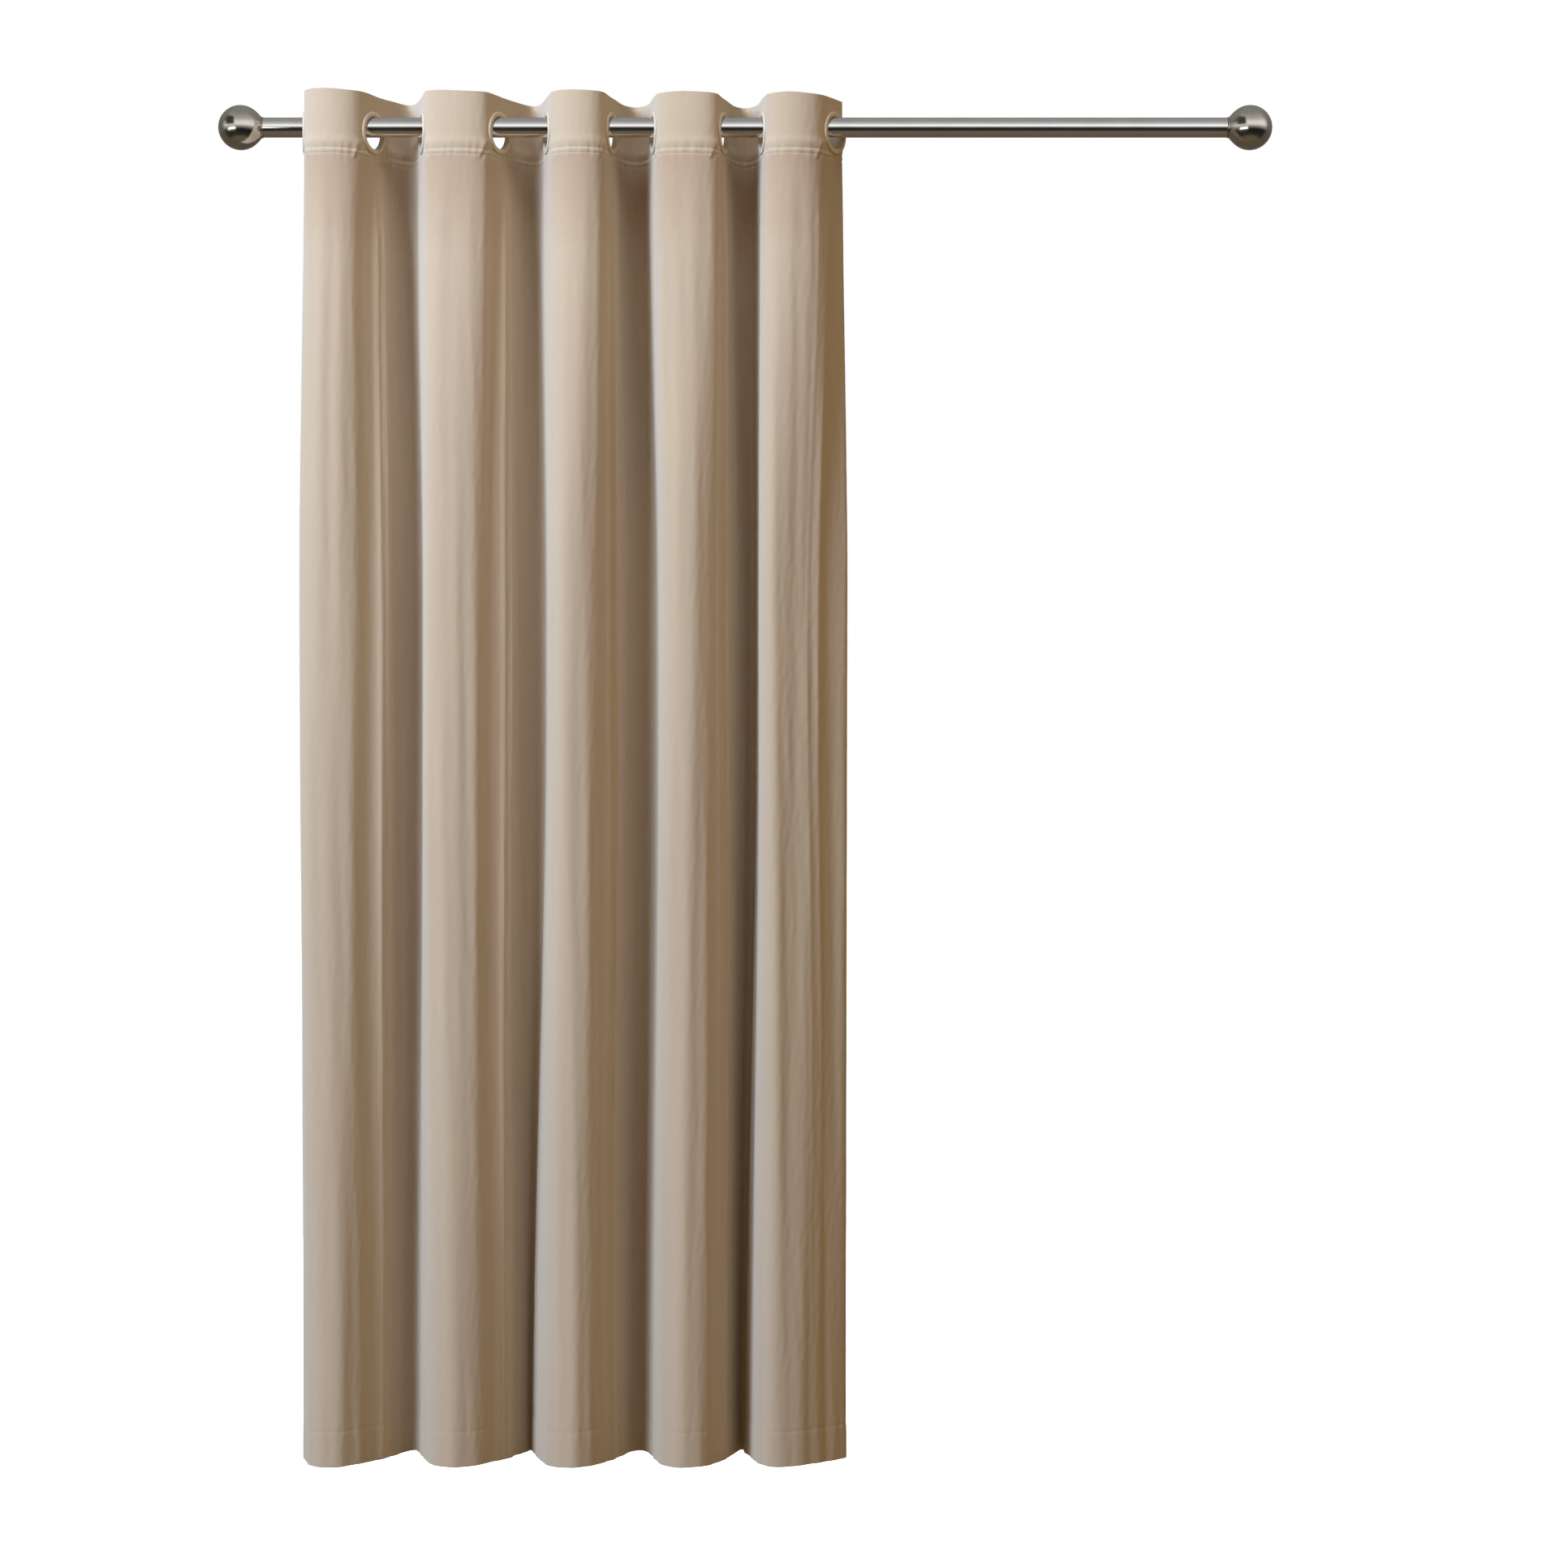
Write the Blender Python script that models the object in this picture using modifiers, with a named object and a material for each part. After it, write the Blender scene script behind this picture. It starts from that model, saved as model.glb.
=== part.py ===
"""Gathered eyelet curtain hanging on a ball-ended curtain pole.

Metres, +Z up. The origin is on the pole's axis, midway between the two finials.
The pole runs along X, the room is on the -Y side and the wall on the +Y side.
"""

import math

import bmesh
import bpy
from mathutils import Matrix, Vector

# Pole
POLE_LENGTH = 1.234
POLE_RADIUS = 0.0127
POLE_WALL = 0.0012
FIT_GAP = 0.0003

# Finials
BALL_RADIUS = 0.0285
BALL_CENTRE_FROM_MOUTH = 0.0272
BALL_TAPER_DEGREES = 60
BALL_WALL = 0.0016
BOSS_RADIUS = 0.0070
COLLAR_LIP = 0.0008
COLLAR_LENGTH = 0.0020
STUD_RADIUS = 0.0040
STUD_REACH_IN_POLE = 0.016
STUD_REACH_IN_BALL = 0.020
INSERT_LENGTH = 0.024

# Eyelets
EYELET_CLEARANCE = 0.0081
EYELET_BARREL_WALL = 0.0012
EYELET_FLANGE_WIDTH = 0.0062
EYELET_FLANGE_THICKNESS = 0.0022
HANG_GAP = 0.0010

# Curtain panel
FABRIC_THICKNESS = 0.0012
TAPE_THICKNESS = 0.0006
PANEL_TOP_ABOVE_AXIS = 0.0385
PANEL_DROP = 1.745
TAPE_BELOW_TOP = 0.004
CREST_CLOTH = 0.0888
CLOTH_PAST_END_FLANGE = 0.0224
SEAM_GAP = 0.0004

# How the pleats stand on the pole: the first eyelet's distance from its left end, and the way the cloth
# runs through each eyelet, in degrees from +X, towards the room and then to the wall
FIRST_EYELET_FROM_END = 0.0535
CLOTH_HEADINGS = (-84, 63, -77, 63, -78, 77, -80, 77, -81, 60)
END_RETURN_HEADINGS = (-88, 100)
# How far each pleat's crest spans, as a share of the cloth that goes round it
CREST_SPANS = (0.806, 0.498, 0.893, 0.493, 0.783, 0.495, 0.873, 0.456, 0.826)

# Mesh fineness
ROUND_STEPS = 24
POLE_STEPS = 32
BALL_STEPS = 28
BALL_ARCS = 10
CREST_COLUMNS = 8
NOTCH_STEPS = 4

# Colour, roughness and metallic value of each material
FINISHES = {
    "nickel": ((0.36, 0.34, 0.30), 0.18, 1.0),
    "steel": ((0.45, 0.45, 0.46), 0.35, 1.0),
    "nylon": ((0.03, 0.03, 0.03), 0.55, 0.0),
    "eyelet": ((0.42, 0.35, 0.27), 0.50, 0.0),
    "velvet": ((0.40, 0.32, 0.23), 0.80, 0.0),
    "tape": ((0.62, 0.57, 0.48), 0.85, 0.0),
}

COLLAR_RADIUS = POLE_RADIUS + COLLAR_LIP
EYELET_HOLE_RADIUS = POLE_RADIUS + EYELET_CLEARANCE
EYELET_FLANGE_RADIUS = EYELET_HOLE_RADIUS + EYELET_FLANGE_WIDTH
NOTCH_RADIUS = (EYELET_HOLE_RADIUS + EYELET_BARREL_WALL + FIT_GAP) / math.cos(math.pi / NOTCH_STEPS / 2)
EYELET_Z = POLE_RADIUS + HANG_GAP - EYELET_HOLE_RADIUS
FLAT_ZONE = EYELET_FLANGE_RADIUS + 2 * FIT_GAP
TAPE_OFFSET = -(FABRIC_THICKNESS / 2 + FIT_GAP + TAPE_THICKNESS / 2)
TAPE_BOTTOM = EYELET_Z - EYELET_FLANGE_RADIUS
POLE_END = POLE_LENGTH / 2


def clear_scene():
    for old in list(bpy.data.objects):
        bpy.data.objects.remove(old)


def new_collection(name):
    collection = bpy.data.collections.new(name)
    bpy.context.scene.collection.children.link(collection)
    return collection


def principled(name):
    colour, roughness, metallic = FINISHES[name]
    material = bpy.data.materials.new(name)
    material.use_nodes = True
    shader = material.node_tree.nodes["Principled BSDF"]
    shader.inputs["Base Color"].default_value = (*colour, 1.0)
    shader.inputs["Roughness"].default_value = roughness
    shader.inputs["Metallic"].default_value = metallic
    return material


def add_object(name, mesh, material, collection, parent=None):
    part = bpy.data.objects.new(name, mesh)
    collection.objects.link(part)
    if not mesh.materials:
        mesh.materials.append(material)
    part.parent = parent
    return part


def add_empty(name, location, collection, parent=None):
    empty = bpy.data.objects.new(name, None)
    empty.empty_display_size = 0.02
    collection.objects.link(empty)
    empty.parent = parent
    empty.location = location
    return empty


def turned_mesh(name, profile, closed):
    """A profile of (radius, height) points, running down the outer side, as loose edges."""
    mesh = bpy.data.meshes.new(name)
    points = [(radius, 0.0, height) for radius, height in profile]
    edges = [(i, i + 1) for i in range(len(points) - 1)]
    if closed:
        edges.append((len(points) - 1, 0))
    mesh.from_pydata(points, edges, [])
    return mesh


def add_screw(part, steps):
    screw = part.modifiers.new("turn", "SCREW")
    screw.axis = "Z"
    screw.angle = math.tau
    screw.steps = steps
    screw.render_steps = steps
    screw.use_merge_vertices = True
    screw.merge_threshold = 0.00001
    screw.use_smooth_shade = True
    return screw


def lay_along_pole(part, x, outward):
    """Turn a piece's own +Z to point along the pole, outward = -1 to the left or +1 to the right."""
    part.location = (x, 0.0, 0.0)
    part.rotation_euler = (0.0, outward * math.pi / 2, 0.0)


# Pole and finials


def tube_profile(outer, inner, low, high):
    return [(outer, high), (outer, low), (inner, low), (inner, high)]


def build_pole(materials, collection):
    profile = tube_profile(POLE_RADIUS, POLE_RADIUS - POLE_WALL, -POLE_END, POLE_END)
    pole = add_object("pole_tube", turned_mesh("pole_tube", profile, True), materials["nickel"], collection)
    add_screw(pole, POLE_STEPS)
    lay_along_pole(pole, 0.0, 1)


def insert_profile():
    """A plug pressed into the pole, with a blind hole for the finial's stud, read along the pole outwards."""
    outer = POLE_RADIUS - POLE_WALL - FIT_GAP
    bore = STUD_RADIUS + FIT_GAP
    bore_bottom = -STUD_REACH_IN_POLE - FIT_GAP
    return [
        (bore, 0.0),
        (outer, 0.0),
        (outer, -INSERT_LENGTH),
        (0.0, -INSERT_LENGTH),
        (0.0, bore_bottom),
        (bore, bore_bottom),
    ]


def stud_profile():
    return [
        (0.0, STUD_REACH_IN_BALL),
        (STUD_RADIUS, STUD_REACH_IN_BALL),
        (STUD_RADIUS, -STUD_REACH_IN_POLE),
        (0.0, -STUD_REACH_IN_POLE),
    ]


def collar_profile():
    """The loose ring between the pole's end and the ball, with a rounded rim."""
    inner = STUD_RADIUS + FIT_GAP
    low = FIT_GAP
    high = COLLAR_LENGTH
    edge = COLLAR_LENGTH / 4
    return [
        (inner, high),
        (COLLAR_RADIUS - edge, high),
        (COLLAR_RADIUS, high - edge),
        (COLLAR_RADIUS, low + edge),
        (COLLAR_RADIUS - edge, low),
        (inner, low),
    ]


def arc_profile(radius, centre, first, last, arcs):
    """Points of a ball's outline about the turning axis, by angle from its far pole."""
    points = []
    for i in range(arcs + 1):
        angle = first + (last - first) * i / arcs
        points.append((radius * math.sin(angle), centre + radius * math.cos(angle)))
    return points


def ball_profile():
    """A hollow ball that tapers to its mouth, and inside it an open boss that the stud screws into."""
    bore = STUD_RADIUS + FIT_GAP
    mouth = COLLAR_LENGTH + FIT_GAP
    centre = mouth + BALL_CENTRE_FROM_MOUTH
    mouth_radius = COLLAR_RADIUS - COLLAR_LENGTH / 4
    taper_angle = math.pi - math.radians(BALL_TAPER_DEGREES)
    floor = mouth + BALL_WALL
    outer = arc_profile(BALL_RADIUS, centre, 0.0, taper_angle, BALL_ARCS)
    inner = arc_profile(BALL_RADIUS - BALL_WALL, centre, taper_angle, 0.0, BALL_ARCS)
    boss = [(bore, mouth), (bore, STUD_REACH_IN_BALL), (BOSS_RADIUS, STUD_REACH_IN_BALL), (BOSS_RADIUS, floor)]
    return outer + [(mouth_radius, mouth)] + boss + [(mouth_radius - BALL_WALL / 2, floor)] + inner


def add_turned(name, profile, closed, steps, material, collection, parent, x, outward):
    part = add_object(name, turned_mesh(name, profile, closed), material, collection, parent)
    add_screw(part, steps)
    lay_along_pole(part, x, outward)
    return part


def build_finial(side, outward, materials, collection):
    end = outward * POLE_END
    insert = insert_profile()
    add_turned(f"{side}_pole_insert", insert, True, ROUND_STEPS, materials["nylon"], collection, None, end, outward)
    slide = add_empty(f"{side}_finial_travel", (end, 0.0, 0.0), collection)
    turn = add_empty(f"{side}_finial_turn", (0.0, 0.0, 0.0), collection, slide)
    pieces = (
        ("collar", collar_profile(), True, slide, "nickel"),
        ("stud", stud_profile(), False, turn, "steel"),
        ("ball", ball_profile(), False, turn, "nickel"),
    )
    for piece, profile, closed, parent, finish in pieces:
        name = f"{side}_finial_{piece}"
        add_turned(name, profile, closed, BALL_STEPS, materials[finish], collection, parent, 0.0, outward)


# Eyelets


def flange_profile(inner, outer, seat, direction):
    """A flange that sits on seat and domes away from it, direction = +1 outwards or -1 behind."""
    face = seat + direction * EYELET_FLANGE_THICKNESS
    shoulder = seat + direction * EYELET_FLANGE_THICKNESS * 0.5
    rim = EYELET_FLANGE_THICKNESS * 0.6
    return [(inner + rim, face), (outer - rim, face), (outer, shoulder), (outer, seat)]


def front_ring_profile(seat, barrel_end):
    """The show side: a domed flange with the barrel that passes through the cloth."""
    flange = flange_profile(EYELET_HOLE_RADIUS, EYELET_FLANGE_RADIUS, seat, 1)
    barrel = EYELET_HOLE_RADIUS + EYELET_BARREL_WALL
    return flange + [
        (barrel, seat),
        (barrel, barrel_end),
        (EYELET_HOLE_RADIUS, barrel_end),
        (EYELET_HOLE_RADIUS, seat + EYELET_FLANGE_THICKNESS * 0.5),
    ]


def back_ring_profile(seat):
    """The snap ring behind, which slips over the barrel."""
    inner = EYELET_HOLE_RADIUS + EYELET_BARREL_WALL + FIT_GAP
    flange = flange_profile(inner, EYELET_FLANGE_RADIUS, seat, -1)
    profile = flange + [(inner, seat), (inner, seat - EYELET_FLANGE_THICKNESS * 0.5)]
    return profile[::-1]


def heading_vector(degrees):
    angle = math.radians(degrees)
    return Vector((math.cos(angle), math.sin(angle), 0.0))


def eyelet_positions():
    """Along the pole, each from the one before: the two flat zones between them and the crest's span."""
    places = [FIRST_EYELET_FROM_END - POLE_END]
    for left, right, span in zip(CLOTH_HEADINGS, CLOTH_HEADINGS[1:], CREST_SPANS):
        flats = FLAT_ZONE * (heading_vector(left).x + heading_vector(right).x)
        places.append(places[-1] + flats + CREST_CLOTH * span)
    return places


def show_side(direction):
    """The cloth's face, to the right of the way it runs."""
    return Vector((direction.y, -direction.x, 0.0))


def stand_ring(ring, degrees):
    """Stand a ring on edge, its own +Z along the cloth's face and its own +X up."""
    face = show_side(heading_vector(degrees))
    up = Vector((0.0, 0.0, 1.0))
    turn = Matrix((up, face.cross(up), face)).transposed()
    ring.rotation_euler = turn.to_euler()
    ring.location = (0.0, 0.0, EYELET_Z)


def build_eyelets(sliders, materials, collection):
    front_seat = FABRIC_THICKNESS / 2 + FIT_GAP
    back_seat = TAPE_OFFSET - TAPE_THICKNESS / 2 - FIT_GAP
    barrel_end = back_seat - EYELET_FLANGE_THICKNESS
    front_mesh = turned_mesh("eyelet_front_ring", front_ring_profile(front_seat, barrel_end), True)
    back_mesh = turned_mesh("eyelet_back_ring", back_ring_profile(back_seat), True)
    for number, (slider, degrees) in enumerate(zip(sliders, CLOTH_HEADINGS), 1):
        for side, mesh in (("front", front_mesh), ("back", back_mesh)):
            name = f"eyelet_{number:02d}_{side}_ring"
            ring = add_object(name, mesh, materials["eyelet"], collection, slider)
            add_screw(ring, ROUND_STEPS)
            stand_ring(ring, degrees)


# Curtain panel


def bezier(a, b, c, d, t):
    s = 1.0 - t
    return a * s**3 + b * (3 * s * s * t) + c * (3 * s * t * t) + d * t**3


def crest_points(start, start_way, end, end_way, handle, count):
    second = start + start_way * handle
    third = end - end_way * handle
    return [bezier(start, second, third, end, i / count) for i in range(count + 1)]


def length_of(points):
    return sum((b - a).length for a, b in zip(points, points[1:]))


def even_points(points, count):
    """Points at even distances along a fine polyline."""
    total = length_of(points)
    picked = [points[0]]
    walked = 0.0
    for a, b in zip(points, points[1:]):
        step = (b - a).length
        while len(picked) < count and walked + step >= total * len(picked) / count:
            picked.append(a.lerp(b, (total * len(picked) / count - walked) / step))
        walked += step
    picked.append(points[-1])
    return picked


def crest_between(start, start_way, end, end_way, length, count):
    """The curve of the wanted length between two places, found by halving the handle's range."""
    fine = 96
    low = 0.0
    high = length
    for _ in range(40):
        handle = (low + high) / 2
        points = crest_points(start, start_way, end, end_way, handle, fine)
        if length_of(points) > length:
            high = handle
        else:
            low = handle
    return even_points(points, count)


def ways_along(points):
    ways = []
    for i in range(len(points)):
        before = points[max(i - 1, 0)]
        after = points[min(i + 1, len(points) - 1)]
        ways.append((after - before).normalized())
    return ways


def fold_plan(x, degrees, next_x, next_degrees):
    """One pleat seen from above: flat in an eyelet, round the crest, flat in the next eyelet."""
    start_way = heading_vector(degrees)
    end_way = heading_vector(next_degrees)
    start = Vector((x, 0.0, 0.0))
    end = Vector((next_x, 0.0, 0.0))
    crest = crest_between(
        start + start_way * FLAT_ZONE,
        start_way,
        end - end_way * FLAT_ZONE,
        end_way,
        CREST_CLOTH,
        CREST_COLUMNS,
    )
    ways = ways_along(crest)
    ways[0] = start_way
    ways[-1] = end_way
    return [start] + crest + [end], [start_way] + ways + [end_way]


def return_plan(x, degrees, end_degrees, outward):
    """The panel's side edge: flat in the end eyelet, then turned back towards the wall."""
    way = heading_vector(degrees)
    end_way = heading_vector(end_degrees)
    eyelet = Vector((x, 0.0, 0.0))
    past = (way + end_way).normalized() * CLOTH_PAST_END_FLANGE
    edge = eyelet + (way * FLAT_ZONE + past) * outward
    points = [eyelet, eyelet + way * FLAT_ZONE * outward, edge]
    ways = [way, way, end_way]
    if outward < 0:
        points.reverse()
        ways.reverse()
    return points, ways


def notch_reach(z):
    """How far the eyelet's hole eats into the cloth at this height."""
    height = abs(z - EYELET_Z)
    if height >= NOTCH_RADIUS:
        return 0.0
    return math.sqrt(NOTCH_RADIUS**2 - height**2)


def strip_heights(low, high):
    """Bottom, the notch's corners from low to high, top."""
    corners = []
    for i in range(NOTCH_STEPS + 1):
        angle = math.pi * i / NOTCH_STEPS - math.pi / 2
        corners.append(EYELET_Z + NOTCH_RADIUS * math.sin(angle))
    return [low] + corners + [high]


def strip_mesh(name, points, ways, offset, low, high, notches):
    """An upright strip of cloth through the plan points, with half an eyelet hole at each notched end."""
    mesh = bpy.data.meshes.new(name)
    build = bmesh.new()
    rows = []
    for z in strip_heights(low, high):
        row = []
        for i, (point, way) in enumerate(zip(points, ways)):
            place = point + show_side(way) * offset
            if i == 0 and notches[0]:
                place += way * (SEAM_GAP / 2 + notch_reach(z))
            if i == len(points) - 1 and notches[1]:
                place -= way * (SEAM_GAP / 2 + notch_reach(z))
            row.append(build.verts.new((place.x, place.y, z)))
        rows.append(row)
    for below, above in zip(rows, rows[1:]):
        for i in range(len(below) - 1):
            build.faces.new((below[i], below[i + 1], above[i + 1], above[i]))
    build.to_mesh(mesh)
    build.free()
    mesh.shade_smooth()
    return mesh


def add_strip(name, mesh, thickness, material, collection, slider, x):
    strip = add_object(name, mesh, material, collection, slider)
    strip.location = (-x, 0.0, 0.0)
    solidify = strip.modifiers.new("cloth_thickness", "SOLIDIFY")
    solidify.thickness = thickness
    solidify.offset = 0.0
    solidify.use_even_offset = True
    return strip


def panel_sections(places):
    """Name, plan, notched ends and the eyelet each section belongs to, from left to right."""
    last = len(places) - 1
    points, ways = return_plan(places[0], CLOTH_HEADINGS[0], END_RETURN_HEADINGS[0], -1)
    sections = [("left_return", points, ways, (False, True), 0)]
    for i in range(last):
        points, ways = fold_plan(places[i], CLOTH_HEADINGS[i], places[i + 1], CLOTH_HEADINGS[i + 1])
        kind = "front_fold" if i % 2 == 0 else "back_fold"
        sections.append((f"{kind}_{i // 2 + 1}", points, ways, (True, True), i))
    points, ways = return_plan(places[last], CLOTH_HEADINGS[last], END_RETURN_HEADINGS[1], 1)
    sections.append(("right_return", points, ways, (True, False), last))
    return sections


def build_panel(places, sliders, materials, collection):
    top = PANEL_TOP_ABOVE_AXIS
    tape_top = top - TAPE_BELOW_TOP
    for name, points, ways, notches, eyelet in panel_sections(places):
        cloth = strip_mesh(f"{name}_cloth", points, ways, 0.0, top - PANEL_DROP, top, notches)
        tape = strip_mesh(f"{name}_tape", points, ways, TAPE_OFFSET, TAPE_BOTTOM, tape_top, notches)
        x = places[eyelet]
        slider = sliders[eyelet]
        add_strip(f"{name}_cloth", cloth, FABRIC_THICKNESS, materials["velvet"], collection, slider, x)
        add_strip(f"{name}_tape", tape, TAPE_THICKNESS, materials["tape"], collection, slider, x)


def main():
    clear_scene()
    collection = new_collection("eyelet_curtain_on_pole")
    materials = {name: principled(name) for name in FINISHES}
    build_pole(materials, collection)
    build_finial("left", -1, materials, collection)
    build_finial("right", 1, materials, collection)
    places = eyelet_positions()
    sliders = [add_empty(f"eyelet_slide_{i:02d}", (x, 0.0, 0.0), collection) for i, x in enumerate(places, 1)]
    build_eyelets(sliders, materials, collection)
    build_panel(places, sliders, materials, collection)


main()
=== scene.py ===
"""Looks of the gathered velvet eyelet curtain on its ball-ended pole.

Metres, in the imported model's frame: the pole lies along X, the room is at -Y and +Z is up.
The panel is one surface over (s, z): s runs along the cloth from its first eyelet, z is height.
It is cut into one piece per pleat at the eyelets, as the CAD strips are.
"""

import math

import bpy
import numpy as np
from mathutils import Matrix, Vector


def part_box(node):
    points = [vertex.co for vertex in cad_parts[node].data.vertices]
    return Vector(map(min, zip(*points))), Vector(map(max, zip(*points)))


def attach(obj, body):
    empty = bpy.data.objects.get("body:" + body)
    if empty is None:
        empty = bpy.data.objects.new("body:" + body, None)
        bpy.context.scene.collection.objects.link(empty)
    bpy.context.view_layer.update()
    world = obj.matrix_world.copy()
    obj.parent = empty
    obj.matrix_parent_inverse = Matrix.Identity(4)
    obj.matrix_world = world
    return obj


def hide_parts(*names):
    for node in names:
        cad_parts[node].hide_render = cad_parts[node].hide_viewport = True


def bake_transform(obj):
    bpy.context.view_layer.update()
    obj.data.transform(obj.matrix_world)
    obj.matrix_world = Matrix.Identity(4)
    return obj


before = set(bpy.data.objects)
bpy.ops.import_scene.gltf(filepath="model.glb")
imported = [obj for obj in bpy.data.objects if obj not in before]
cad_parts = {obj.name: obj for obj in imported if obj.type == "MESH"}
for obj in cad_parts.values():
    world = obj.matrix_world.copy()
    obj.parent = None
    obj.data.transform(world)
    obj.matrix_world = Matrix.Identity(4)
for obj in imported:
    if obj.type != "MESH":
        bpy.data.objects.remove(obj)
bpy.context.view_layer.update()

# Pole and finials, metres
POLE_RADIUS = 0.0127
POLE_WALL = 0.0012
COLLAR_LENGTH = 0.0020
COLLAR_RADIUS = 0.0135
BALL_RADIUS = 0.0285
BALL_CENTRE_FROM_MOUTH = 0.0272
BALL_TAPER_DEGREES = 60
BALL_MOUTH_SLOPE = 50
BALL_BORE_DEPTH = 0.014
STUD_RADIUS = 0.0040
STUD_REACH_IN_BALL = 0.012
THREAD_PITCH = 0.00125
THREAD_DEPTH = 0.0006
FIT_GAP = 0.0003

# Eyelets
EYELET_HOLE_RADIUS = 0.0208
EYELET_BARREL_WALL = 0.0012
EYELET_FLANGE_RADIUS = 0.0270
EYELET_FLANGE_THICKNESS = 0.0022
EYELET_SHOULDER = 0.0007
SNAP_RING_SHOULDER = 0.0006
EYELET_CROWN = 0.7
FIRST_EYELET_FROM_END = 0.0535
CLOTH_HEADINGS = (-84, 63, -77, 63, -78, 77, -80, 77, -81, 60)
CREST_SPANS = (0.806, 0.498, 0.893, 0.493, 0.783, 0.495, 0.873, 0.456, 0.826)

# Cloth
CLOTH_THICKNESS = 0.0012
TAPE_THICKNESS = 0.0006
CREST_CLOTH = 0.0888
HEADING_SEAM_BELOW_TOP = 0.0715
SECOND_SEAM_BELOW_TOP = 0.0785
HEM_HEIGHT = 0.043
SIDE_HEM = 0.022
FLAT_ZONE = EYELET_FLANGE_RADIUS + 2 * FIT_GAP
CLOTH_BETWEEN_EYELETS = CREST_CLOTH + 2 * FLAT_ZONE
CLOTH_BESIDE_END_EYELETS = 0.050
TOP_RISE = 0.0025
LEFT_EDGE_HEADING = -86
RIGHT_EDGE_HEADING = 104
COLUMN_WIDTH = 0.0030
STITCH_LENGTH = 0.003
UV_SHIFT = (0.1, 2.0)

# Heights between which the plan goes over from the heading to mid-drop, and from there to the hem
MID_DROP_Z = -0.62
HEM_PLAN_STARTS_Z = -0.75

EYELETS = len(CLOTH_HEADINGS)
UP = np.array((0.0, 0.0, 1.0))


def node_centre(name):
    low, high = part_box(name)
    return (np.array(low) + np.array(high)) / 2


EYELET_Z = node_centre("eyelet_01_front_ring")[2]
PANEL_BOTTOM, PANEL_TOP = (corner[2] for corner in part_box("front_fold_1_cloth"))
POLE_LEFT, POLE_RIGHT = (corner[0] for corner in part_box("pole_tube"))


# Materials


def new_material(name):
    material = bpy.data.materials.new(name)
    material.use_nodes = True
    return material, material.node_tree.nodes, material.node_tree.links


def shader_of(nodes):
    return nodes["Principled BSDF"]


def coordinates(nodes, kind):
    return nodes.new("ShaderNodeTexCoord").outputs[kind]


def noise(nodes, links, vector, scale, detail=3.0, roughness=0.55):
    made = nodes.new("ShaderNodeTexNoise")
    made.inputs["Scale"].default_value = scale
    made.inputs["Detail"].default_value = detail
    made.inputs["Roughness"].default_value = roughness
    links.new(vector, made.inputs["Vector"])
    return made.outputs["Fac"]


def stretched(nodes, links, vector, scale):
    made = nodes.new("ShaderNodeMapping")
    made.inputs["Scale"].default_value = scale
    links.new(vector, made.inputs["Vector"])
    return made.outputs["Vector"]


def ramp(nodes, links, value, stops):
    made = nodes.new("ShaderNodeValToRGB")
    elements = made.color_ramp.elements
    while len(elements) < len(stops):
        elements.new(0.5)
    for element, (place, colour) in zip(elements, stops):
        element.position = place
        element.color = colour if len(colour) == 4 else (*colour, 1.0)
    links.new(value, made.inputs["Fac"])
    return made.outputs["Color"]


def grey(value):
    return (value, value, value)


def mix_colour(nodes, links, factor, first, second, blend="MIX"):
    made = nodes.new("ShaderNodeMix")
    made.data_type = "RGBA"
    made.blend_type = blend
    for socket, source in ((made.inputs[0], factor), (made.inputs[6], first), (made.inputs[7], second)):
        if isinstance(source, (float, int)):
            socket.default_value = source
        elif isinstance(source, tuple):
            socket.default_value = (*source, 1.0)
        else:
            links.new(source, socket)
    return made.outputs[2]


def math_node(nodes, links, operation, first, second=0.0):
    made = nodes.new("ShaderNodeMath")
    made.operation = operation
    for socket, source in zip(made.inputs, (first, second)):
        if isinstance(source, (float, int)):
            socket.default_value = source
        else:
            links.new(source, socket)
    return made.outputs[0]


def bump(nodes, links, height, distance, strength, below=None):
    made = nodes.new("ShaderNodeBump")
    made.inputs["Distance"].default_value = distance
    made.inputs["Strength"].default_value = strength
    links.new(height, made.inputs["Height"])
    if below is not None:
        links.new(below, made.inputs["Normal"])
    return made.outputs["Normal"]


def line_mask(nodes, links, value, place, half_width):
    """1 on a line of this half width, 0 beside it."""
    away = math_node(nodes, links, "ABSOLUTE", math_node(nodes, links, "SUBTRACT", value, place))
    share = math_node(nodes, links, "DIVIDE", away, half_width)
    return ramp(nodes, links, share, ((0.5, grey(1.0)), (1.0, grey(0.0))))


def stitches(nodes, links, place):
    """Dashes of thread along the two heading seams; the darker thread colour laid on them is partly
    painted shade of the sunk stitches.
    """
    split = nodes.new("ShaderNodeSeparateXYZ")
    links.new(place, split.inputs[0])
    turn = math_node(nodes, links, "MULTIPLY", split.outputs["X"], math.tau / STITCH_LENGTH)
    dash = math_node(nodes, links, "SINE", turn)
    dash = ramp(nodes, links, dash, ((0.0, grey(0.0)), (0.15, grey(1.0))))
    total = 0.0
    for height in (PANEL_TOP - HEADING_SEAM_BELOW_TOP, PANEL_TOP - SECOND_SEAM_BELOW_TOP):
        line = line_mask(nodes, links, split.outputs["Y"], height + UV_SHIFT[1], 0.0009)
        total = math_node(nodes, links, "ADD", line, total)
    return math_node(nodes, links, "MULTIPLY", dash, total)


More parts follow.
